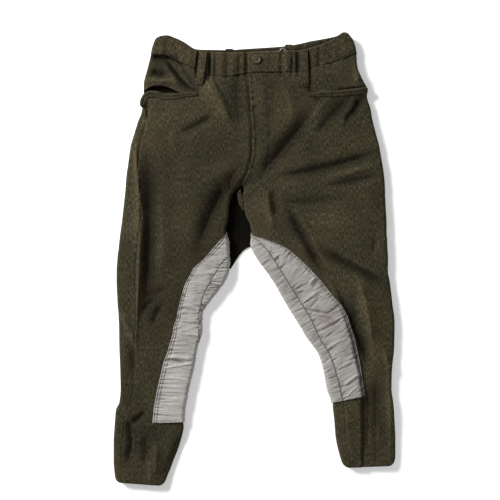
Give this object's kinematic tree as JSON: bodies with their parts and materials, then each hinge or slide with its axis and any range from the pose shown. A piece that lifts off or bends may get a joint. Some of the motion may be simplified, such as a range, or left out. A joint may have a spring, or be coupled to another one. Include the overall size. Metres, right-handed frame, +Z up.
{
  "type": "wool riding breeches laid flat",
  "caption": "Military-style wool riding breeches laid flat, with fly front, belt loops, level hip pockets and pale inner-leg patches.",
  "frame": {"origin": "on the surface the garment lies on, below the middle of its bounding box", "axes": "+Z up from the surface, +Y from the hems to the waist, +X to the wearer's left"},
  "size_m": [0.5659, 0.9072, 0.028],
  "materials": {
    "wool": "olive-drab twilled wool",
    "wool_trim": "olive-drab twilled wool",
    "patch": "light grey napped reinforcement cloth",
    "button": "dull olive, four holes",
    "eyelet": "light dull metal"
  },
  "bodies": {
    "root": {"right_front": "wool", "left_front": "wool", "right_back": "wool", "left_back": "wool", "right_front_band": "wool_trim", "left_front_band": "wool_trim", "back_band": "wool_trim", "right_front_loop": "wool_trim", "left_front_loop": "wool_trim", "right_back_loop": "wool_trim", "left_back_loop": "wool_trim", "right_pocket_welt": "wool_trim", "left_pocket_welt": "wool_trim", "right_pocket_bag": "wool_trim", "left_pocket_bag": "wool_trim", "fly_underlap": "wool_trim", "right_front_patch": "patch", "left_front_patch": "patch", "right_back_patch": "patch", "left_back_patch": "patch", "waist_button": "button", "brace_eyelet": "eyelet"}
  },
  "joints": []
}
